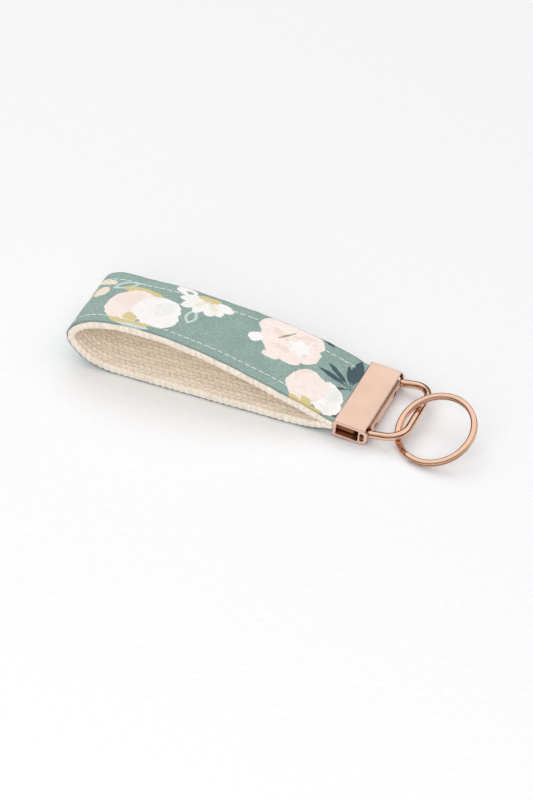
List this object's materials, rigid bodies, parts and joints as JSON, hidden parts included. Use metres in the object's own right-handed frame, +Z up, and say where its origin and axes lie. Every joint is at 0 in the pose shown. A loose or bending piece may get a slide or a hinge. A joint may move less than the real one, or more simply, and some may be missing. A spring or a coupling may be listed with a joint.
{
  "type": "wristlet keychain",
  "caption": "Wristlet key fob: a folded strap of cotton webbing with a printed fabric cover, held by a crimped metal clamp with a pivoting wire loop and a split key ring.",
  "frame": {"origin": "bottom centre of the whole object lying on a table: the middle of its length and width, at table height", "axes": "+X runs along the strap towards the split ring, +Y across the strap, +Z up from the table"},
  "size_m": [0.137, 0.0348, 0.0193],
  "materials": {
    "webbing_cotton": "coarse herringbone webbing, natural",
    "printed_cotton": "plain-weave cotton, sage ground with a pale floral print",
    "white_thread": "twisted polyester thread",
    "rose_gold_plate": "satin rose gold plating",
    "rose_gold_polished": "polished rose gold plating"
  },
  "bodies": {
    "strap": {"webbing": "webbing_cotton", "fabric_cover": "printed_cotton", "near_needle_thread": "white_thread", "far_needle_thread": "white_thread", "near_bobbin_thread": "white_thread", "far_bobbin_thread": "white_thread", "end_stitching": "white_thread", "crimp_clamp": "rose_gold_plate"},
    "wire_loop": {"wire_loop": "rose_gold_polished"},
    "split_ring": {"split_ring": "rose_gold_polished"}
  },
  "joints": [
    {"name": "loop_swing", "type": "hinge", "parent": "strap", "child": "wire_loop", "pos_m": [0.03465, 0.00136, 0.00298], "axis": [0, -1, 0], "range_deg": [-56, 28]},
    {"name": "ring_swing", "type": "hinge", "parent": "wire_loop", "child": "split_ring", "pos_m": [0.04716, 0.00136, 0.00483], "axis": [0, -1, 0], "range_deg": [0, 120]}
  ]
}
